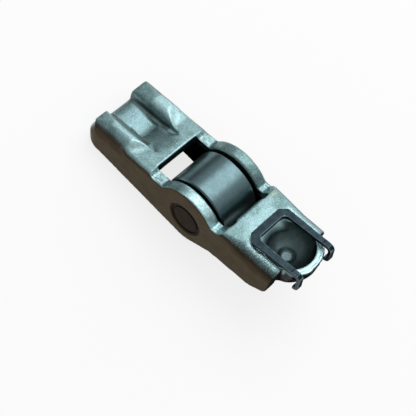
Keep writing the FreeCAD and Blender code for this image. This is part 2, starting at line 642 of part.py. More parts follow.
for thing in doc.Objects:
    if {"Invalid", "Error"} & set(thing.State):
        raise RuntimeError(f"{thing.Name} is {thing.State}")
for piece in pieces:
    if piece.Shape.isNull() or not piece.Shape.isValid():
        raise RuntimeError(f"{piece.Label} has no valid shape")

os.makedirs("parts", exist_ok=True)
for piece in pieces:
    piece.Shape.exportStep(f"parts/{piece.Label}.step")
print(f"{len(pieces)} pieces, leaning {rest_slope():.4f} degrees, pin axis at {arm_body.Placement.Base}")
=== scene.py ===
# Looks of a pressed steel roller finger follower: its worn surfaces, its finishes, the camera and a studio.
# Places are in millimetres from the roller pin, in the arm's own frame: X to the ball socket, Y across,
# Z out of the socket. The arm lies on its roller and valve end, so ARM leads from its frame to the room's.
import json
import math

import bmesh
import bpy
from mathutils import Matrix, Vector


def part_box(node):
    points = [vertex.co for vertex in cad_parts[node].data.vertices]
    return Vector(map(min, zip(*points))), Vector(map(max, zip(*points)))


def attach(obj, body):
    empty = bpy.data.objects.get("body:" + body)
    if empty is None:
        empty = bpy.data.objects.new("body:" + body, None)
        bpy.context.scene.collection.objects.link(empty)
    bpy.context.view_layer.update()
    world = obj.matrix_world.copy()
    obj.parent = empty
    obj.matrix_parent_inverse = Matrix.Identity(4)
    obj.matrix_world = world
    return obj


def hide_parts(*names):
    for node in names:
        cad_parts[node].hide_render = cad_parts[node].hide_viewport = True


bl_info = {
    "name": "Roller Finger Follower",
    "version": (1, 0, 0),
    "blender": (4, 5, 0),
    "location": "View3D > Sidebar > Follower",
    "description": "Dresses a pressed steel rocker arm and sets up its studio",
    "category": "Object",
}

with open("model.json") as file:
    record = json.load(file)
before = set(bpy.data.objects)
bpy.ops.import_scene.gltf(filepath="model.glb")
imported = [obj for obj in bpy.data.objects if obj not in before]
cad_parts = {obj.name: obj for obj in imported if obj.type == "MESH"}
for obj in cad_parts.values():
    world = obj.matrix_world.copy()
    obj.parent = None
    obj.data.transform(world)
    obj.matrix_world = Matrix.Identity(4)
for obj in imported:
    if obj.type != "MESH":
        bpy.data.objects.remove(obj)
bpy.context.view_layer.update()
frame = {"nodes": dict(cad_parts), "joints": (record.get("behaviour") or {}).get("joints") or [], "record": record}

MM = 0.001

SPIN = next(joint for joint in frame["joints"] if joint["name"] == "roller_spin")
SOCKET = next(mount for mount in frame["record"]["mounts"] if mount["name"] == "ball_socket")
TREAD = next(mount for mount in frame["record"]["mounts"] if mount["name"] == "roller_tread")
PIN_CENTRE = Vector(SPIN["pos_m"])
LEAN = math.atan2(SOCKET["axis"][0], SOCKET["axis"][2])
ARM = Matrix.Translation(PIN_CENTRE) @ Matrix.Rotation(LEAN, 4, "Y")
ARM_FROM_MM = ARM @ Matrix.Scale(MM, 4)

# Sizes of the drawing that the finishes and the wear go by
BALL_CENTRE = ARM_FROM_MM.inverted() @ Vector(SOCKET["pos_m"])
BALL_RADIUS = SOCKET["dims"]["r_mm"]
ROLLER_RADIUS = TREAD["dims"]["r_mm"]
ROLLER_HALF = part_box("roller")[1][1] / MM
ROLLER_CHAMFER = 0.3
BORE_RADIUS = 5.62
PIN_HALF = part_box("roller_pin")[1][1] / MM
PIN_RADIUS = 3.98
STAKE_INNER = 3.05
STAKE_OUTER = 3.55
STAKE_SLOPE = 0.07
STAKE_DEPTH = 0.2
ARM_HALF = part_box("arm_body")[1][1] / MM
SHEET = 2.56
WALL_INNER = ARM_HALF - SHEET
WALL_TAIL = -26.8
CHEEK_RADIUS = 7.85
NOTCH_REACH = 11.0
WINDOW_REAR = -10.3
WINDOW_FRONT = 8.85
PAD_HALF = 2.25
PAD_FRONT = -15.4
GUIDE_HALF = 3.1
CREST_HEIGHT = 6.1
WEB_HEIGHT = 5.5
LIP_START = 22.4

# The photograph's viewpoint in the arm's frame, found from points of the arm in it
PHOTO_PIXELS = 416
FOCAL_PIXELS = 1200
SENSOR_WIDTH_MM = 36
CAMERA_RIGHT = Vector((0.71869, 0.69104, 0.07711))
CAMERA_UP = Vector((-0.61978, 0.58638, 0.52157))
CAMERA_PLACE = Vector((75.99, -102.78, 201.21))

# The studio, in metres
FLOOR_WIDTH = 3.0
FLOOR_GLOW = 0.78
FLAG_DISTANCE = 0.4
LAMP_DISTANCE = 0.5
ROOM_STRENGTH = 0.62
FLAG_GREY = "#2C2E2D"

# What a metal's reflections keep at a grazing look: all of them on open faces, a little less on the walls,
# underside and inside, along with the painted reflection and shade there
CLEAN_GLINT = "#FFFFFF"
SHADED_GLINT = "#DBD7D1"
PIN_GLINT = "#DAD4D0"


def linear(code):
    """A linear RGBA colour from an sRGB hex code."""
    parts = [int(code[k:k + 2], 16) / 255 for k in (1, 3, 5)]
    return [p / 12.92 if p <= 0.04045 else ((p + 0.055) / 1.055) ** 2.4 for p in parts] + [1.0]


def darker(colour, amount):
    """A linear colour at part of its brightness."""
    return [part * amount for part in colour[:3]] + [1.0]


def size_of(name, description, millimetres):
    """A length that a user would change."""
    return bpy.props.FloatProperty(name=name, description=description, default=millimetres * MM,
                                   unit="LENGTH", precision=5, min=0.0)


def colour_of(name, description, code):
    """A colour that a user would change."""
    return bpy.props.FloatVectorProperty(name=name, description=description, subtype="COLOR", size=4,
                                         min=0.0, max=1.0, default=linear(code))


class FollowerSizes(bpy.types.PropertyGroup):
    """Sizes of the worn and rolled surface that the drawing leaves out."""
    skin_step: size_of("Skin step", "Mesh step of the pressed arm's worn surface", 0.21)
    strip_step: size_of("Strip step", "Mesh step of the spring clip's rounded strip", 0.085)
    dent_depth: size_of("Dent depth", "How uneven pressing and tumbling left the sheet", 0.085)
    dent_size: size_of("Dent size", "Width of those uneven places", 2.2)
    grain_depth: size_of("Grain depth", "Depth of the tumbled grain", 0.03)
    grain_size: size_of("Grain size", "Width of the tumbled grain", 0.45)
    lip_tear: size_of("Lip tear", "How ragged the sheared lip of the socket is", 0.8)
    foot_slant: bpy.props.FloatProperty(name="Foot slant", default=0.62, min=0.0, max=1.0, subtype="FACTOR",
                                        description="How far the guide walls' feet slant in plan")
    rim_round: size_of("Rim round", "Rounding of the roller's and the pin's turned edges", 0.16)


class FollowerColours(bpy.types.PropertyGroup):
    """Colours of the bare, ground and blued steels, of dried oil, and of the painted highlights, shade and
    reflections.
    """
    deck: colour_of("Deck", "Tumbled top of the sheet", "#7C9A9E")
    # Random darker clouds, and the tone of much painted shade
    cloud: colour_of("Cloud", "Darker clouds in the tumbled top", "#55706F")
    # Painted reflection: the walls' brown stands in for the dark surroundings they mirror
    wall: colour_of("Wall", "Outside of the side walls", "#473E30")
    # Painted shade: the inside and underside of the channel and the strips beside the pad
    inside: colour_of("Inside", "Oily inside and underside of the channel", "#33291D")
    # Sheared, struck and rubbed steel, and the tone of the painted highlights
    bright: colour_of("Bright", "Sheared, struck and rubbed steel", "#BFE4E8")
    # Painted shade: near-black in the bends, on the walls' ends, in the window's pit and round the socket's
    # outside, and some random marks in the socket
    shadow: colour_of("Shadow", "Scale and old oil in the corners", "#141412")
    # Painted shade: the socket's inside, darker than the top
    bowl: colour_of("Bowl", "Inside of the ball socket", "#536466")
    # Also the tone of the painted highlight across the pad's middle
    pad: colour_of("Pad", "Ground valve pad", "#86A6AE")
    stain: colour_of("Stain", "Dried oil", "#9A9A66")
    roller: colour_of("Roller", "Ground tread of the roller", "#688287")
    pin: colour_of("Pin", "Ends of the pin", "#1E1A15")
    needle: colour_of("Needle", "Polished needles", "#BEC2C2")
    strip: colour_of("Strip", "Blued spring strip", "#313E45")
    floor: colour_of("Floor", "Studio floor", "#F2F2F2")


def add(tree, kind, settings=None, **links):
    """Adds a node. settings sets its properties, links its inputs, from values or from sockets. An input
    goes by its name, with _ for a space, or by _ and its number."""
    node = tree.nodes.new(kind)
    for name, setting in (settings or {}).items():
        setattr(node, name, setting)
    for name, source in links.items():
        socket = node.inputs[int(name[1:]) if name[1:].isdigit() else name.replace("_", " ")]
        if isinstance(source, bpy.types.NodeSocket):
            tree.links.new(source, socket)
        else:
            socket.default_value = source
    return node


def together(tree, first, *others):
    """The product of masks, measures and amounts: what all of them leave of the first."""
    left = first
    for other in others:
        left = add(tree, "ShaderNodeMath", {"operation": "MULTIPLY"}, _0=left, _1=other).outputs[0]
    return left


def zone(tree, where, soft, **limits):
    """From 0 to 1, how far a point lies inside limits of its measures, with soft borders."""
    inside = None
    for measure, (low, high) in limits.items():
        for edge, start, end in ((low, 0.0, 1.0), (high, 1.0, 0.0)):
            if edge is None:
                continue
            step = add(tree, "ShaderNodeMapRange", {"interpolation_type": "SMOOTHSTEP"},
                       Value=where[measure], From_Min=edge - soft, From_Max=edge + soft, To_Min=start,
                       To_Max=end).outputs[0]
            inside = step if inside is None else together(tree, inside, step)
    return inside


def measures(tree, point):
    """Sockets that say where a point lies: x, y, z, across from the middle, and from pin and ball."""
    split = add(tree, "ShaderNodeSeparateXYZ", _0=point)
    flat = add(tree, "ShaderNodeVectorMath", {"operation": "MULTIPLY"}, _0=point, _1=(1.0, 0.0, 1.0))
    across = add(tree, "ShaderNodeMath", {"operation": "ABSOLUTE"}, _0=split.outputs[1])
    radius = add(tree, "ShaderNodeVectorMath", {"operation": "LENGTH"}, _0=flat.outputs[0])
    ball = add(tree, "ShaderNodeVectorMath", {"operation": "DISTANCE"}, _0=point, _1=BALL_CENTRE)
    return {
        "point": point,
        "x": split.outputs[0],
        "y": split.outputs[1],
        "z": split.outputs[2],
        "across": across.outputs[0],
        "radius": radius.outputs["Value"],
        "ball": ball.outputs["Value"],
    }


def arm_measures(tree):
    """The measures of a shaded point in the arm's frame, which way it faces there, and how worn it is."""
    coordinates = add(tree, "ShaderNodeTexCoord")
    back = Matrix.Rotation(-LEAN, 3, "Y")
    placed = add(tree, "ShaderNodeMapping", Vector=coordinates.outputs["Object"], Scale=(1 / MM,) * 3,
                 Rotation=(0.0, -LEAN, 0.0), Location=-(back @ PIN_CENTRE) / MM)
    where = measures(tree, placed.outputs[0])
    turned = add(tree, "ShaderNodeMapping", {"vector_type": "VECTOR"}, Vector=coordinates.outputs["Normal"],
                 Rotation=(0.0, -LEAN, 0.0))
    facing = add(tree, "ShaderNodeSeparateXYZ", _0=turned.outputs[0]).outputs
    where["facing_x"] = facing[0]
    where["facing_out"] = add(tree, "ShaderNodeMath", {"operation": "ABSOLUTE"}, _0=facing[1]).outputs[0]
    where["facing_up"] = facing[2]
    where["edge"] = add(tree, "ShaderNodeNewGeometry").outputs["Pointiness"]
    return where


def new_material(name):
    """A material with nothing in its tree yet."""
    material = bpy.data.materials.new(name)
    material.use_nodes = True
    material.node_tree.nodes.clear()
    return material, material.node_tree


def layered(tree, colour, layers):
    """One colour over another, each where its mask says. Inputs 6 and 7 are the colours of the mix."""
    for mask, tint in layers:
        colour = add(tree, "ShaderNodeMix", {"data_type": "RGBA"}, _0=mask, _6=colour, _7=tint).outputs[2]
    return colour


def sheet_places(tree, where):
    """Masks of the pressed arm's places by name, from the half width of their soft border and their limits.
    Both are in millimetres, or from 0 to 1 for the way a point faces, worn edges and noises."""
    places = {
        # The outside of the side walls and of the bends that lead to them: the walls' brown is a painted
        # reflection, and the walls' ends and the web's bend by the socket are painted shade
        "side": (0.14, {"facing_out": (0.72, None), "across": (ARM_HALF - 1.2, None)}),
        "hub": (0.15, {"radius": (None, 4.7), "across": (ARM_HALF - 1.5, None)}),
        "wall_end": (0.25, {"facing_x": (0.3, None), "across": (WALL_INNER - 0.3, None), "x": (18.5, None)}),
        "flank": (0.22, {"facing_out": (0.6, None), "across": (5.6, None), "facing_up": (0.0, None),
                         "y": (None, 0.0)}),
        "web_bend": (0.5, {"x": (10.5, None), "z": (2.6, None), "y": (None, -6.1),
                           "facing_out": (0.3, None)}),
        # The guide walls at the valve end, and the ground pad between them: painted highlights on the crests, the
        # feet and the pad's middle, painted shade on the far wall's end, over the pad and in the strips beside it
        "crest": (0.5, {"x": (-23.2, -14.6), "y": (-5.6, -3.7), "z": (5.2, None)}),
        "far_crest": (0.5, {"x": (-21.8, -14.6), "y": (4.3, None), "z": (4.8, None)}),
        "far_end": (0.3, {"x": (None, -21.6), "across": (3.4, None), "z": (4.6, None), "y": (0.0, None)}),
        "foot": (0.5, {"x": (-17.6, -14.9), "across": (4.2, 7.0), "z": (4.75, 6.0)}),
        "pad": (0.2, {"across": (None, PAD_HALF - 0.05), "x": (None, PAD_FRONT), "z": (2.2, 4.6)}),
        "strips": (0.14, {"across": (PAD_HALF, GUIDE_HALF + 0.2), "x": (None, PAD_FRONT),
                          "z": (2.6, 4.9)}),
        # The web, the rims of the cheeks and the notches beside them: a painted highlight with streaks on the near
        # crown, painted shade on the far crown and on the near deck by the socket, the notches' sheared striations
        # painted as highlights, and a painted highlight along the near bend by the socket
        "window_edge": (0.1, {"x": (WINDOW_REAR - 0.3, WINDOW_REAR + 0.1), "z": (4.6, None),
                              "across": (None, WALL_INNER)}),
        "crown": (0.2, {"radius": (CHEEK_RADIUS - 0.35, CHEEK_RADIUS + 0.4), "z": (0.5, None),
                        "across": (WALL_INNER - 0.2, None), "facing_out": (None, 0.8)}),
        "notches": (0.25, {"across": (WALL_INNER - 0.1, None), "radius": (CHEEK_RADIUS + 0.2, NOTCH_REACH),
                           "z": (3.5, 5.6), "facing_out": (None, 0.6)}),
        "near_deck": (0.9, {"x": (9.5, None), "y": (None, -3.4), "facing_up": (0.6, None)}),
        "deck_edge": (0.5, {"x": (14.0, 21.6), "across": (5.1, 6.3), "z": (4.2, None)}),
        # The inside of the channel and its underside, painted in shade, darkest in the window's pit
        "inside": (0.25, {"across": (None, WALL_INNER + 0.2), "z": (None, 2.6)}),
        "pit": (0.15, {"across": (None, WALL_INNER + 0.15), "x": (WINDOW_REAR - 0.4, WINDOW_FRONT + 0.9),
                       "facing_up": (None, 0.45)}),
        "under": (0.2, {"facing_up": (None, -0.3)}),
        # The ball socket: its inside painted darker as shade, a painted highlight crescent at its rear rim, and
        # painted shade on the cup's outside and under the lip's edge
        "flare": (0.45, {"ball": (BALL_RADIUS + 1.6, BALL_RADIUS + 3.6), "x": (None, 17.5),
                         "y": (-5.5, 3.5), "facing_up": (0.7, None)}),
        "cup_outside": (0.25, {"ball": (BALL_RADIUS + 0.9, None), "x": (17.5, None), "z": (None, 4.9),
                               "across": (None, 6.6)}),
        "bowl": (0.1, {"ball": (None, BALL_RADIUS + 0.3), "z": (None, 5.2)}),
        "crescent": (0.55, {"ball": (None, BALL_RADIUS + 1.1), "z": (3.6, 6.6), "x": (None, 16.2),
                            "y": (None, 2.8)}),
        "dimple": (0.15, {"ball": (BALL_RADIUS + 0.25, BALL_RADIUS + 1.2), "z": (None, 1.4),
                          "x": (18.0, 21.4)}),
        "lip": (0.2, {"x": (LIP_START, None), "z": (3.4, None), "facing_up": (0.75, None)}),
        "rim_edge": (0.2, {"x": (LIP_START + 0.6, None), "z": (2.0, None), "facing_up": (None, 0.5),
                           "across": (None, 5.0)}),
        # What lies all over the sheet
        "worn_edges": (0.035, {"edge": (0.56, None)}),
        "clouded": (0.16, {"cloud": (0.56, None)}),
        "mottled": (0.13, {"mottle": (0.55, None)}),
        "speckled": (0.07, {"grit": (0.56, None)}),
    }
    masks = {name: zone(tree, where, soft, **limits) for name, (soft, limits) in places.items()}
    for name, base, soft, limits in (
        ("far_crown", "crown", 1.0, {"y": (0.0, None)}),
        ("crown_glow", "crown", 1.6, {"x": (-1.6, None), "y": (None, 0.0)}),
        ("crown_streaks", "crown_glow", 0.07, {"streak": (0.5, None)}),
        ("notch_streaks", "notches", 0.07, {"streak": (0.5, None)}),
        ("pad_glow", "pad", 2.6, {"x": (-25.5, -20.3)}),
        ("frost", "deck_edge", 0.08, {"mottle": (0.5, None)}),
        ("side_marks", "side", 0.12, {"cloud": (0.5, None)}),
        ("bowl_marks", "bowl", 0.12, {"cloud": (0.54, None)}),
    ):
        masks[name] = together(tree, masks[base], zone(tree, where, soft, **limits))
    return masks


def tumbled_pressed_steel(colours):
    """Sheet steel, pressed, hardened and tumbled: a satin blue-green grey with a fine mottled grain, bright
    where the die sheared or struck it, with specks of dried oil. Painted highlights lie on crests, crowns, feet
    and bends, the walls' dull brown is a painted reflection, and the inside, underside and hollows carry painted
    shade. Tumbling leaves a grain of about 0.05 mm, which is drawn as 0.13 and 0.31 mm so that it shows."""
    cloud_width = 2.222
    mottle_width = 0.3125
    grit_width = 0.13333
    streak_length = 1.4286
    streak_width = 0.29412
    bump_depth = 0.016 * MM
    material, tree = new_material("tumbled_pressed_steel")
    where = arm_measures(tree)
    point = where["point"]
    clouds = add(tree, "ShaderNodeTexNoise", Vector=point, Scale=1 / cloud_width, Detail=3.0, Roughness=0.55)
    mottle = add(tree, "ShaderNodeTexNoise", Vector=point, Scale=1 / mottle_width, Detail=4.0,
                 Roughness=0.75)
    grit = add(tree, "ShaderNodeTexNoise", Vector=point, Scale=1 / grit_width, Detail=2.0, Roughness=0.6)
    drawn_out = add(tree, "ShaderNodeVectorMath", {"operation": "DIVIDE"}, _0=point,
                    _1=(streak_length, streak_width, streak_length))
    streaks = add(tree, "ShaderNodeTexNoise", Vector=drawn_out.outputs[0], Scale=1.0, Detail=3.0,
                  Roughness=0.6)
    where.update(cloud=clouds.outputs[0], mottle=mottle.outputs[0], grit=grit.outputs[0],
                 streak=streaks.outputs[0])
    masks = sheet_places(tree, where)
    layers = [(together(tree, masks[name], amount), tint) for name, amount, tint in (
        ("clouded", 1.0, colours.cloud),
        # Painted shade on the far guide wall's end
        ("far_end", 0.4, colours.cloud),
        # Painted shade on the near deck beside the socket
        ("near_deck", 0.65, colours.cloud),
        ("flare", 0.22, colours.bright),
        # Painted highlights along the guide walls' crests
        ("crest", 0.6, colours.bright),
        ("far_crest", 0.6, colours.bright),
        # Painted shade on the far cheek's crown, and a painted highlight with bright streaks on the near one
        ("far_crown", 0.5, colours.cloud),
        ("crown_glow", 0.55, colours.bright),
        ("crown_streaks", 0.9, colours.bright),
        # The notches' sheared facets: a darker tone, with their striations painted as bright highlight streaks
        ("notches", 0.1, colours.bright),
        ("notches", 0.35, colours.cloud),
        ("notch_streaks", 0.65, colours.bright),
        # Painted reflection: the near flank takes part of the walls' brown
        ("flank", 0.35, colours.wall),
        # Painted shade in the web's bend beside the socket
        ("web_bend", 0.75, colours.shadow),
        # Painted shade over the pad and a painted highlight across its middle
        ("pad", 0.35, colours.cloud),
        ("pad_glow", 0.9, colours.pad),
        ("window_edge", 0.6, colours.bright),
        # Painted highlight on the guide walls' feet
        ("foot", 0.35, colours.bright),
        ("worn_edges", 0.45, colours.bright),
        ("mottled", 0.6, colours.cloud),
        ("speckled", 0.42, colours.bright),
        # Painted shade in the strips beside the pad
        ("strips", 0.6, colours.inside),
        # Painted reflection: the walls and the rims round the pin are painted brown, with random darker marks
        ("side", 1.0, colours.wall),
        ("side_marks", 0.35, colours.inside),
        ("hub", 1.0, colours.wall),
        # Painted shade on the walls' ends by the socket
        ("wall_end", 1.0, colours.shadow),
        # Painted highlight, mottled, along the near bend by the socket
        ("frost", 1.0, colours.bright),
        # Painted shade inside and under the channel, darkest in the window's pit
        ("inside", 1.0, colours.inside),
        ("pit", 0.55, colours.shadow),
        ("under", 1.0, colours.inside),
        # Painted shade on the cup's outside
        ("cup_outside", 1.0, colours.shadow),
        # Painted shade: the socket's inside in a darker tone, with random darker marks
        ("bowl", 1.0, colours.bowl),
        ("bowl_marks", 0.25, colours.shadow),
        # Painted highlight: a crescent along the socket's rear rim
        ("crescent", 0.6, colours.bright),
        ("dimple", 0.5, colours.pad),
        ("lip", 0.9, colours.bright),
        # Painted shade under the lip's ragged edge
        ("rim_edge", 0.9, colours.shadow),
    )]
    # Oil dried in specks beside the window's far corner and on the lip
    for x, y, width in ((9.9, 6.1, 0.9), (24.6, -2.3, 0.5)):
        near = add(tree, "ShaderNodeVectorMath", {"operation": "DISTANCE"}, _0=point, _1=(x, y, WEB_HEIGHT))
        spill = zone(tree, {"near": near.outputs["Value"]}, 0.7, near=(None, width))
        layers.append((together(tree, spill, masks["mottled"], 0.8), colours.stain))
    colour = layered(tree, colours.deck, layers)
    # Reflections are dimmed a little where the walls carry painted reflection and the inside and underside carry
    # painted shade
    oil = linear(SHADED_GLINT)
    glint = layered(tree, linear(CLEAN_GLINT), [(masks[name], oil) for name in ("side", "under", "inside")])
    rough = add(tree, "ShaderNodeMapRange", Value=mottle.outputs[0], From_Min=0.3, From_Max=0.7,
                To_Min=0.34, To_Max=0.46)
    height = add(tree, "ShaderNodeMath", {"operation": "MULTIPLY_ADD"}, _0=mottle.outputs[0], _1=2.0,
                 _2=grit.outputs[0])
    bump = add(tree, "ShaderNodeBump", Strength=1.0, Distance=bump_depth, Height=height.outputs[0])
    shader = add(tree, "ShaderNodeBsdfPrincipled", Base_Color=colour, Metallic=1.0,
                 Roughness=rough.outputs[0], Specular_Tint=glint, Normal=bump.outputs[0])
    add(tree, "ShaderNodeOutputMaterial", Surface=shader.outputs[0])
    return material


def ground_bearing_steel(name, tint, roughness, glint=CLEAN_GLINT):
    """Hardened steel, ground round its axis: smooth and half glossy, with hair-fine lines round it over a
    faint dark mottle. The wheel leaves lines of about 0.015 mm, which are drawn about ten times as wide so
    that they show."""
    line_width = 0.16667
    grain_width = 0.27778
    smear_width = 1.4286
    bump_depth = 0.004 * MM
    material, tree = new_material(name)
    where = arm_measures(tree)
    point = where["point"]
    round_it = add(tree, "ShaderNodeCombineXYZ", X=where["y"], Y=where["radius"])
    lines = add(tree, "ShaderNodeTexNoise", Vector=round_it.outputs[0], Scale=1 / line_width, Detail=4.0,
                Roughness=0.7)
    smear = add(tree, "ShaderNodeTexNoise", Vector=point, Scale=1 / smear_width, Detail=3.0, Roughness=0.6)
    grain = add(tree, "ShaderNodeTexNoise", Vector=point, Scale=1 / grain_width, Detail=3.0, Roughness=0.7)
    where.update(line=lines.outputs[0], smear=smear.outputs[0], grain=grain.outputs[0])
    dark = darker(tint, 0.72)
    colour = layered(tree, tint, [
        (together(tree, zone(tree, where, 0.15, smear=(0.52, None)), 0.45), dark),
        (together(tree, zone(tree, where, 0.1, line=(0.58, None)), 0.3), dark),
        (together(tree, zone(tree, where, 0.08, grain=(0.52, None)), 0.55), dark),
    ])
    rough = add(tree, "ShaderNodeMapRange", Value=smear.outputs[0], From_Min=0.3, From_Max=0.7,
                To_Min=roughness - 0.03, To_Max=roughness + 0.05)
    bump = add(tree, "ShaderNodeBump", Strength=0.6, Distance=bump_depth, Height=lines.outputs[0])
    shader = add(tree, "ShaderNodeBsdfPrincipled", Base_Color=colour, Metallic=1.0,
                 Roughness=rough.outputs[0], Specular_Tint=linear(glint), Normal=bump.outputs[0])
    add(tree, "ShaderNodeOutputMaterial", Surface=shader.outputs[0])
    return material


def blued_spring_steel(colours):
    """Spring strip, rolled and blued in oil: a slate blue-black with a soft gloss and drifts of deeper blue,
    pale along its edges, partly rubbed and partly a painted highlight. Its rolled skin is too fine to show, and is
    drawn 0.2 mm wide."""
    drift_width = 1.25
    skin_width = 0.2
    bump_depth = 0.004 * MM
    material, tree = new_material("blued_spring_steel")
    where = arm_measures(tree)
    point = where["point"]
    drift = add(tree, "ShaderNodeTexNoise", Vector=point, Scale=1 / drift_width, Detail=3.0, Roughness=0.6)
    skin = add(tree, "ShaderNodeTexNoise", Vector=point, Scale=1 / skin_width, Detail=3.0, Roughness=0.65)
    where["drift"] = drift.outputs[0]
    colour = layered(tree, colours.strip, [
        (together(tree, zone(tree, where, 0.15, drift=(0.5, None)), 0.6), darker(colours.strip, 0.45)),
        # Pale edges: rubbed wear and a painted highlight
        (together(tree, zone(tree, where, 0.03, edge=(0.534, None)), 0.9), colours.deck),
    ])
    rough = add(tree, "ShaderNodeMapRange", Value=skin.outputs[0], From_Min=0.3, From_Max=0.7, To_Min=0.26,
                To_Max=0.4)
    bump = add(tree, "ShaderNodeBump", Strength=0.8, Distance=bump_depth, Height=skin.outputs[0])
    shader = add(tree, "ShaderNodeBsdfPrincipled", Base_Color=colour, Metallic=1.0,
                 Roughness=rough.outputs[0], Normal=bump.outputs[0])
    add(tree, "ShaderNodeOutputMaterial", Surface=shader.outputs[0])
    return material


def painted_board(name, colour, glow=0.0):
    """Matt painted board for the studio: it shows an even tone and no gloss. What the camera and reflections
    see of it may be lifted towards white."""
    material, tree = new_material(name)
    shader = add(tree, "ShaderNodeBsdfDiffuse", Color=colour).outputs[0]
    if glow:
        ray = add(tree, "ShaderNodeLightPath").outputs
        seen = ray["Is Camera Ray"]
        for kind in ("Is Glossy Ray", "Is Transmission Ray"):
            seen = add(tree, "ShaderNodeMath", {"operation": "MAXIMUM"}, _0=seen, _1=ray[kind]).outputs[0]
        white = add(tree, "ShaderNodeEmission", Strength=1.0).outputs[0]
        lifted = add(tree, "ShaderNodeMixShader", _0=together(tree, seen, glow), _1=shader, _2=white)
        shader = lifted.outputs[0]
    add(tree, "ShaderNodeOutputMaterial", Surface=shader)
    return material


def put_in_scene(thing):
    """Links a new object to the scene."""
    bpy.context.scene.collection.objects.link(thing)
    return thing


def rolled(tree, folded, corner, radii, mask):
    """The move that brings a folded point back onto a rolled corner, where it lies outside of it."""
    reach = add(tree, "ShaderNodeVectorMath", {"operation": "SUBTRACT"}, _0=folded, _1=corner).outputs[0]
    reach = add(tree, "ShaderNodeVectorMath", {"operation": "DIVIDE"}, _0=reach, _1=radii).outputs[0]
    reach = add(tree, "ShaderNodeVectorMath", {"operation": "MAXIMUM"}, _0=reach, _1=(0.0,) * 3).outputs[0]
    length = add(tree, "ShaderNodeVectorMath", {"operation": "LENGTH"}, _0=reach).outputs["Value"]
    length = add(tree, "ShaderNodeMath", {"operation": "MAXIMUM"}, _0=length, _1=1.0).outputs[0]
    kept = add(tree, "ShaderNodeMath", {"operation": "DIVIDE"}, _0=1.0, _1=length).outputs[0]
    move = add(tree, "ShaderNodeMath", {"operation": "SUBTRACT"}, _0=kept, _1=1.0).outputs[0]
    move = together(tree, move, mask)
    reach = add(tree, "ShaderNodeVectorMath", {"operation": "MULTIPLY"}, _0=reach, _1=radii).outputs[0]
    return add(tree, "ShaderNodeVectorMath", {"operation": "SCALE"}, _0=reach, Scale=move).outputs[0]


def rolled_flanks(tree, geometry):
    """Rolls the near side's edges, as the far side is drawn tighter: the blank's edge was further from the
    die there. Points are folded to -X and to one side, and measured from the crest, whose height may fall
    towards the socket. A corner that is far out in one direction leaves that direction as it is."""
    crest_from = 9.4
    crest_to = 17.0
    far_out = 90.0
    guide = (CREST_HEIGHT, CREST_HEIGHT)
    for radii, corner, crest_heights, limits in (
        # The guide wall's outer flank
        ((1.0, 3.5, 3.5), (far_out, 4.5, -3.5), guide, {"x": (None, -16.2)}),
        # Its end
        ((2.4, 2.4, 1.0), (-WALL_TAIL - 2.4, 5.6, far_out), guide, {"x": (None, -20.0)}),
        # The web's side beside the socket
        ((1.0, 2.8, 2.8), (far_out, 5.2, -2.8), (5.8, 5.35), {"x": (12.5, None), "z": (1.5, None)}),
    ):
        where = measures(tree, add(tree, "GeometryNodeInputPosition").outputs[0])
        crest = add(tree, "ShaderNodeMapRange", Value=where["x"], From_Min=crest_from, From_Max=crest_to,
                    To_Min=crest_heights[0], To_Max=crest_heights[1]).outputs[0]
        height = add(tree, "ShaderNodeMath", {"operation": "SUBTRACT"}, _0=where["z"], _1=crest).outputs[0]
        back = add(tree, "ShaderNodeMath", {"operation": "MULTIPLY"}, _0=where["x"], _1=-1.0).outputs[0]
        folded = add(tree, "ShaderNodeCombineXYZ", X=back, Y=where["across"], Z=height).outputs[0]
        move = rolled(tree, folded, corner, radii, zone(tree, where, 1.4, y=(None, -2.0), **limits))
        hand = add(tree, "ShaderNodeMath", {"operation": "SIGN"}, _0=where["y"]).outputs[0]
        unfold = add(tree, "ShaderNodeCombineXYZ", X=-1.0, Y=hand, Z=1.0).outputs[0]
        offset = add(tree, "ShaderNodeVectorMath", {"operation": "MULTIPLY"}, _0=move, _1=unfold).outputs[0]
        geometry = add(tree, "GeometryNodeSetPosition", Geometry=geometry, Offset=offset).outputs[0]
    return geometry


def melted_dip(tree, geometry):
    """Lets the strips and the pad run out on the web in one soft hollow, and softens the rear of the
    socket's mouth into a flare."""
    point = add(tree, "GeometryNodeInputPosition").outputs[0]
    where = measures(tree, point)
    dip = together(tree, zone(tree, where, 1.3, x=(-16.6, -12.9)),
                   zone(tree, where, 0.4, across=(None, 2.8), z=(2.0, None)))
    mouth = zone(tree, where, 0.4, ball=(BALL_RADIUS - 0.9, BALL_RADIUS + 1.5), z=(3.7, None),
                 x=(None, 16.8), y=(None, 3.4))
    weight = add(tree, "ShaderNodeMath", {"operation": "MAXIMUM"}, _0=dip, _1=mouth).outputs[0]
    soft = add(tree, "GeometryNodeBlurAttribute", {"data_type": "FLOAT_VECTOR"}, Value=point,
               Iterations=240, Weight=weight).outputs[0]
    return add(tree, "GeometryNodeSetPosition", Geometry=geometry, Position=soft).outputs[0]


def slanted_feet(tree, geometry, slant):
    """Slants the guide walls' feet in plan about their middle, so that their inner tips reach further."""
    foot_middle = 4.9
    where = measures(tree, add(tree, "GeometryNodeInputPosition").outputs[0])
    foot = together(tree, zone(tree, where, 2.2, x=(-19.0, -12.6)),
                    zone(tree, where, 0.6, z=(3.6, None), across=(GUIDE_HALF - 0.5, None)))
    inward = add(tree, "ShaderNodeMath", {"operation": "SUBTRACT"}, _0=foot_middle, _1=where["across"])
    shear = together(tree, inward.outputs[0], slant, foot)
    offset = add(tree, "ShaderNodeCombineXYZ", X=shear).outputs[0]
    return add(tree, "GeometryNodeSetPosition", Geometry=geometry, Offset=offset).outputs[0]


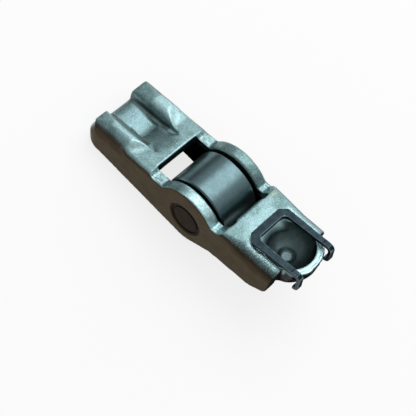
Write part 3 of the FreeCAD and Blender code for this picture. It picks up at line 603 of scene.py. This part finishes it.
def full_end(tree, geometry):
    """Swells the side walls' ends a little past the guide walls, where the press squeezed them out."""
    squeezed_out = 1.6
    where = measures(tree, add(tree, "GeometryNodeInputPosition").outputs[0])
    swell = zone(tree, where, 2.2, x=(None, -24.8), z=(-3.2, 3.0), across=(4.8, None))
    offset = add(tree, "ShaderNodeVectorMath", {"operation": "SCALE"}, _0=(-squeezed_out, 0.0, 0.0),
                 Scale=swell).outputs[0]
    return add(tree, "GeometryNodeSetPosition", Geometry=geometry, Offset=offset).outputs[0]


def torn_lip(tree, geometry, tear, seed):
    """Draws the sheared lip of the socket back unevenly, and a little up."""
    rag_width = 1.25
    point = add(tree, "GeometryNodeInputPosition").outputs[0]
    noise = add(tree, "ShaderNodeTexNoise", {"noise_dimensions": "4D"}, Vector=point, W=seed,
                Scale=1 / rag_width, Detail=3.0)
    torn = zone(tree, measures(tree, point), 0.4, x=(LIP_START + 1.8, None), z=(2.4, None),
                ball=(BALL_RADIUS + 1.1, None))
    slide = together(tree, torn, noise.outputs[0], tear)
    offset = add(tree, "ShaderNodeVectorMath", {"operation": "SCALE"}, _0=(-1.0, 0.0, 0.15),
                 Scale=slide).outputs[0]
    return add(tree, "GeometryNodeSetPosition", Geometry=geometry, Offset=offset).outputs[0]


def pressed_relief(tree, geometry, given):
    """Raises and sinks the surface along its normal: broad dents of the press, then tumbled grain. Both are
    twice as deep in the crumpled notches beside the cheeks."""
    point = add(tree, "GeometryNodeInputPosition").outputs[0]
    crumpled = zone(tree, measures(tree, point), 0.4, radius=(CHEEK_RADIUS - 0.6, NOTCH_REACH),
                    across=(WALL_INNER, None), z=(2.5, None))
    more = add(tree, "ShaderNodeMath", {"operation": "ADD"}, _0=crumpled, _1=1.0).outputs[0]
    swells = []
    for depth, width in (("Dent Depth", "Dent Size"), ("Grain Depth", "Grain Size")):
        fine = add(tree, "ShaderNodeMath", {"operation": "DIVIDE"}, _0=1.0, _1=given[width]).outputs[0]
        noise = add(tree, "ShaderNodeTexNoise", {"noise_dimensions": "4D"}, Vector=point, W=given["Seed"],
                    Scale=fine, Detail=1.0).outputs[0]
        centred = add(tree, "ShaderNodeMath", {"operation": "SUBTRACT"}, _0=noise, _1=0.5).outputs[0]
        swells.append(together(tree, centred, given[depth]))
    relief = add(tree, "ShaderNodeMath", {"operation": "ADD"}, _0=swells[0], _1=swells[1]).outputs[0]
    relief = together(tree, relief, more)
    normal = add(tree, "GeometryNodeInputNormal").outputs[0]
    offset = add(tree, "ShaderNodeVectorMath", {"operation": "SCALE"}, _0=normal, Scale=relief).outputs[0]
    return add(tree, "GeometryNodeSetPosition", Geometry=geometry, Offset=offset).outputs[0]


def worn_skin_tree(pressed):
    """Nodes that wear a mesh in the arm's frame. The pressed arm's also soften, roll, swell, slant and tear
    it where the press and the shear did."""
    tree = bpy.data.node_groups.new("worn_skin", "GeometryNodeTree")
    tree.interface.new_socket(name="Geometry", in_out="INPUT", socket_type="NodeSocketGeometry")
    for name in ("Dent Depth", "Dent Size", "Grain Depth", "Grain Size", "Lip Tear", "Foot Slant", "Seed"):
        tree.interface.new_socket(name=name, in_out="INPUT", socket_type="NodeSocketFloat")
    tree.interface.new_socket(name="Finish", in_out="INPUT", socket_type="NodeSocketMaterial")
    tree.interface.new_socket(name="Geometry", in_out="OUTPUT", socket_type="NodeSocketGeometry")
    given = add(tree, "NodeGroupInput").outputs
    geometry = given["Geometry"]
    if pressed:
        geometry = melted_dip(tree, geometry)
        geometry = rolled_flanks(tree, geometry)
        geometry = full_end(tree, geometry)
        geometry = slanted_feet(tree, geometry, given["Foot Slant"])
        geometry = torn_lip(tree, geometry, given["Lip Tear"], given["Seed"])
    geometry = pressed_relief(tree, geometry, given)
    smooth = add(tree, "GeometryNodeSetShadeSmooth", Geometry=geometry)
    real = add(tree, "GeometryNodeRealizeInstances", Geometry=smooth.outputs[0])
    dressed = add(tree, "GeometryNodeSetMaterial", Geometry=real.outputs[0], Material=given["Finish"])
    add(tree, "NodeGroupOutput", Geometry=dressed.outputs[0])
    return tree


def worn_piece(node, step, passes, finish, wear, pressed=False):
    """A worn copy of a node: an even mesh in the arm's frame, its edges softened in some passes, and the
    worn skin over it."""
    merge_mm = 0.001
    seed = 3.0
    mesh = frame["nodes"][node].data.copy()
    mesh.transform(ARM_FROM_MM.inverted())
    shell = bmesh.new()
    shell.from_mesh(mesh)
    bmesh.ops.remove_doubles(shell, verts=shell.verts, dist=merge_mm)
    shell.to_mesh(mesh)
    shell.free()
    blank = put_in_scene(bpy.data.objects.new(node + "_blank", mesh))
    remesh = blank.modifiers.new("Even", "REMESH")
    remesh.mode = "VOXEL"
    remesh.voxel_size = step / MM
    soften = blank.modifiers.new("Soften", "SMOOTH")
    soften.factor = 0.5
    soften.iterations = passes
    skin = blank.modifiers.new("Worn skin", "NODES")
    skin.node_group = worn_skin_tree(pressed)
    settings = {"Finish": finish, "Seed": seed, **wear}
    for socket in skin.node_group.interface.items_tree:
        if socket.in_out == "INPUT" and socket.name in settings:
            skin[socket.identifier] = settings[socket.name]
    ready = blank.evaluated_get(bpy.context.evaluated_depsgraph_get())
    result = bpy.data.meshes.new_from_object(ready)
    bpy.data.objects.remove(blank)
    if len(result.polygons) == 0:
        raise RuntimeError(f"{node} has no worn mesh")
    result.transform(ARM_FROM_MM)
    return put_in_scene(bpy.data.objects.new(node + "_worn", result))


def eased(profile, radius):
    """A profile whose corners are rounded, with a point close before and after each rounding, so that the
    flats beside it still shade flat."""
    steps = 4
    lead = radius * 0.3
    points = [profile[0]]
    for before, corner, after in zip(profile, profile[1:], profile[2:]):
        before, corner, after = Vector(before), Vector(corner), Vector(after)
        backward = (before - corner).normalized()
        onward = (after - corner).normalized()
        start = corner + backward * radius
        end = corner + onward * radius
        points.append(start + backward * lead)
        for step in range(steps + 1):
            t = step / steps
            points.append(start * (1 - t) ** 2 + corner * 2 * t * (1 - t) + end * t ** 2)
        points.append(end + onward * lead)
    points.append(profile[-1])
    return [tuple(point) for point in points]


def both_sides(half, radius):
    """A profile with its corners rounded, then its mirror image across the arm's middle."""
    side = eased(half, radius)
    return side + [(r, -y) for r, y in reversed(side)]


def turned_piece(name, profile, finish, turns=144):
    """A piece turned round the pin's axis from pairs of radius and place across the arm."""
    merge_mm = 0.0005
    shell = bmesh.new()
    rings = []
    for k in range(turns):
        angle = 2 * math.pi * k / turns
        rings.append([shell.verts.new((r * math.cos(angle), y, r * math.sin(angle))) for r, y in profile])
    for ring, following in zip(rings, rings[1:] + rings[:1]):
        for k in range(len(profile) - 1):
            shell.faces.new((ring[k], ring[k + 1], following[k + 1], following[k]))
    bmesh.ops.remove_doubles(shell, verts=shell.verts, dist=merge_mm)
    bmesh.ops.recalc_face_normals(shell, faces=shell.faces)
    for face in shell.faces:
        face.smooth = True
    mesh = bpy.data.meshes.new(name)
    shell.to_mesh(mesh)
    shell.free()
    mesh.transform(ARM_FROM_MM)
    mesh.materials.append(finish)
    return put_in_scene(bpy.data.objects.new(name, mesh))


def hand_over(piece, node, body):
    """Lets a finished piece stand for its node."""
    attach(piece, body)
    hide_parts(node)


class FOLLOWER_OT_arm(bpy.types.Operator):
    """Make the pressed arm's worn surface and finish"""
    bl_idname = "follower.arm"
    bl_label = "Pressed Arm"

    def execute(self, context):
        sizes = context.scene.follower_sizes
        finish = tumbled_pressed_steel(context.scene.follower_colours)
        wear = {
            "Dent Depth": sizes.dent_depth / MM,
            "Dent Size": sizes.dent_size / MM,
            "Grain Depth": sizes.grain_depth / MM,
            "Grain Size": sizes.grain_size / MM,
            "Lip Tear": sizes.lip_tear / MM,
            "Foot Slant": sizes.foot_slant,
        }
        piece = worn_piece("arm_body", sizes.skin_step, 3, finish, wear, pressed=True)
        hand_over(piece, "arm_body", "arm")
        return {"FINISHED"}


class FOLLOWER_OT_clip(bpy.types.Operator):
    """Make the spring clip's rounded strip and finish"""
    bl_idname = "follower.clip"
    bl_label = "Spring Clip"

    def execute(self, context):
        sizes = context.scene.follower_sizes
        finish = blued_spring_steel(context.scene.follower_colours)
        wear = {"Dent Depth": 0.05, "Dent Size": 1.5, "Grain Depth": 0.008, "Grain Size": 0.4}
        piece = worn_piece("retainer_clip", sizes.strip_step, 6, finish, wear)
        hand_over(piece, "retainer_clip", "arm")
        return {"FINISHED"}


class FOLLOWER_OT_roller(bpy.types.Operator):
    """Turn the roller with its rounded rims"""
    bl_idname = "follower.roller"
    bl_label = "Roller"

    def execute(self, context):
        tint = context.scene.follower_colours.roller
        # The two corners of a chamfer share its rounding
        rounding = context.scene.follower_sizes.rim_round / MM * 0.5
        half = [
            (BORE_RADIUS, 0.0),
            (BORE_RADIUS, ROLLER_HALF - ROLLER_CHAMFER),
            (BORE_RADIUS + ROLLER_CHAMFER, ROLLER_HALF),
            (ROLLER_RADIUS - ROLLER_CHAMFER, ROLLER_HALF),
            (ROLLER_RADIUS, ROLLER_HALF - ROLLER_CHAMFER),
            (ROLLER_RADIUS, 0.0),
        ]
        finish = ground_bearing_steel("ground_bearing_steel", tint, roughness=0.31)
        piece = turned_piece("roller_tread", both_sides(half, rounding), finish)
        hand_over(piece, "roller", "roller")
        return {"FINISHED"}


class FOLLOWER_OT_pin(bpy.types.Operator):
    """Turn the pin with its staked ends"""
    bl_idname = "follower.pin"
    bl_label = "Roller Pin"

    def execute(self, context):
        tint = context.scene.follower_colours.pin
        # The struck ring is narrow, so its corners are sharper than the roller's
        rounding = context.scene.follower_sizes.rim_round / MM * 0.35
        half = [
            (0.0, PIN_HALF),
            (STAKE_INNER, PIN_HALF),
            (STAKE_INNER + STAKE_SLOPE, PIN_HALF - STAKE_DEPTH),
            (STAKE_OUTER - STAKE_SLOPE, PIN_HALF - STAKE_DEPTH),
            (STAKE_OUTER, PIN_HALF),
            (PIN_RADIUS, PIN_HALF),
            (PIN_RADIUS, 0.0),
        ]
        finish = ground_bearing_steel("dull_pin_steel", tint, roughness=0.42, glint=PIN_GLINT)
        piece = turned_piece("roller_pin_staked", both_sides(half, rounding), finish)
        hand_over(piece, "roller_pin", "arm")
        return {"FINISHED"}


class FOLLOWER_OT_needles(bpy.types.Operator):
    """Finish the needle rollers"""
    bl_idname = "follower.needles"
    bl_label = "Needles"

    def execute(self, context):
        tint = context.scene.follower_colours.needle
        finish = ground_bearing_steel("polished_needle_steel", tint, roughness=0.16)
        for name, node in frame["nodes"].items():
            if name.startswith("needle_"):
                node.data.materials.clear()
                node.data.materials.append(finish)
        return {"FINISHED"}


def flat_board(name, centre, facing, width, height, finish):
    """A flat board of the studio, whose face looks along a direction."""
    turn = Vector(facing).to_track_quat("Z", "Y").to_matrix().to_4x4()
    place = Matrix.Translation(Vector(centre)) @ turn
    corners = [place @ Vector((x * width / 2, y * height / 2, 0))
               for x, y in ((-1, -1), (1, -1), (1, 1), (-1, 1))]
    mesh = bpy.data.meshes.new(name)
    mesh.from_pydata(corners, [], [(0, 1, 2, 3)])
    mesh.materials.append(finish)
    board = put_in_scene(bpy.data.objects.new(name, mesh))
    return board


def dark_flag(name, centre, facing, width, height, finish):
    """A board that only reflections see: it darkens them, and it neither shades nor shows."""
    flag = flat_board(name, centre, facing, width, height, finish)
    flag.visible_camera = False
    flag.visible_diffuse = False
    flag.visible_shadow = False


def out_from_pin(toward, distance):
    """A direction of the arm's frame as one of the room, and the place that far along it from the pin."""
    away = (ARM.to_3x3() @ Vector(toward)).normalized()
    return away, PIN_CENTRE + away * distance


def soft_box(name, toward, width, height, power):
    """A soft area light that looks at the arm from a direction of the arm's frame."""
    lamp = bpy.data.lights.new(name, "AREA")
    lamp.shape = "RECTANGLE"
    lamp.size = width
    lamp.size_y = height
    lamp.energy = power
    away, place = out_from_pin(toward, LAMP_DISTANCE)
    light = put_in_scene(bpy.data.objects.new(name, lamp))
    turn = away.to_track_quat("Z", "Y").to_matrix().to_4x4()
    light.matrix_world = Matrix.Translation(place) @ turn


class FOLLOWER_OT_stage(bpy.types.Operator):
    """Set up the floor, the soft light, the dark flags and the camera"""
    bl_idname = "follower.stage"
    bl_label = "Studio"

    def execute(self, context):
        self.lay_floor(context.scene.follower_colours)
        self.stand_flags()
        soft_box("key_softbox", toward=(0.05, 0.42, 0.90), width=0.42, height=0.42, power=1.15)
        soft_box("back_softbox", toward=(-0.1, 0.95, 0.28), width=0.6, height=0.16, power=0.4)
        world = bpy.data.worlds.new("studio")
        context.scene.world = world
        world.use_nodes = True
        background = world.node_tree.nodes["Background"]
        background.inputs["Color"].default_value = linear("#FFFFFF")
        background.inputs["Strength"].default_value = ROOM_STRENGTH
        self.aim_camera(context.scene)
        context.scene.view_settings.view_transform = "Standard"
        return {"FINISHED"}

    def lay_floor(self, colours):
        """A plain pale floor, which the camera sees nearly white."""
        finish = painted_board("matt_floor", colours.floor, FLOOR_GLOW)
        flat_board("studio_floor", (0, 0, 0), (0, 0, 1), FLOOR_WIDTH, FLOOR_WIDTH, finish)

    def stand_flags(self):
        """Dark boards round the arm for the dark parts of its reflections, and one lying low on the floor under
        and beside the arm: a painted shadow that reflections see where the floor's glow lifts the arm's shadow.
        """
        finish = painted_board("matt_flag", linear(FLAG_GREY))
        for name, toward, width, height in (
            ("flag_near", (-0.1, -0.97, 0.2), 0.9, 0.2),
            ("flag_socket", (0.93, 0.2, 0.2), 0.3, 0.14),
            ("flag_valve", (-0.95, 0.15, 0.3), 0.4, 0.22),
        ):
            away, place = out_from_pin(toward, FLAG_DISTANCE)
            dark_flag(name, place, -away, width, height, finish)
        # A dark card on the floor under the arm: painted shadow, seen only in reflections
        under = (PIN_CENTRE.x + 15 * MM, PIN_CENTRE.y + 6.5 * MM, 0.3 * MM)
        dark_flag("flag_under", under, (0, 0, 1), 0.06, 0.026, finish)

    def aim_camera(self, scene):
        """The photograph's viewpoint."""
        lens = bpy.data.cameras.new("camera")
        lens.sensor_width = SENSOR_WIDTH_MM
        lens.lens = FOCAL_PIXELS / PHOTO_PIXELS * SENSOR_WIDTH_MM
        camera = put_in_scene(bpy.data.objects.new("camera", lens))
        back = CAMERA_RIGHT.cross(CAMERA_UP)
        place = Matrix((CAMERA_RIGHT, CAMERA_UP, back)).transposed().to_4x4()
        place.translation = CAMERA_PLACE * MM
        camera.matrix_world = ARM @ place
        scene.camera = camera


OPERATORS = (FOLLOWER_OT_arm, FOLLOWER_OT_clip, FOLLOWER_OT_roller, FOLLOWER_OT_pin, FOLLOWER_OT_needles,
             FOLLOWER_OT_stage)


class FOLLOWER_PT_panel(bpy.types.Panel):
    """Lists the follower's pieces, its studio, its sizes and its colours"""
    bl_idname = "FOLLOWER_PT_panel"
    bl_label = "Roller Finger Follower"
    bl_space_type = "VIEW_3D"
    bl_region_type = "UI"
    bl_category = "Follower"

    def draw(self, context):
        for operator in OPERATORS:
            self.layout.operator(operator.bl_idname)
        for group in (context.scene.follower_sizes, context.scene.follower_colours):
            box = self.layout.box()
            for name in group.bl_rna.properties.keys():
                if name not in ("rna_type", "name"):
                    box.prop(group, name)


CLASSES = (FollowerSizes, FollowerColours, *OPERATORS, FOLLOWER_PT_panel)


def register():
    for item in CLASSES:
        bpy.utils.register_class(item)
    bpy.types.Scene.follower_sizes = bpy.props.PointerProperty(type=FollowerSizes)
    bpy.types.Scene.follower_colours = bpy.props.PointerProperty(type=FollowerColours)


def unregister():
    del bpy.types.Scene.follower_colours
    del bpy.types.Scene.follower_sizes
    for item in reversed(CLASSES):
        bpy.utils.unregister_class(item)


def main():
    register()
    bpy.ops.follower.arm()
    bpy.ops.follower.clip()
    bpy.ops.follower.roller()
    bpy.ops.follower.pin()
    bpy.ops.follower.needles()
    bpy.ops.follower.stage()


if __name__ == "__main__":
    main()
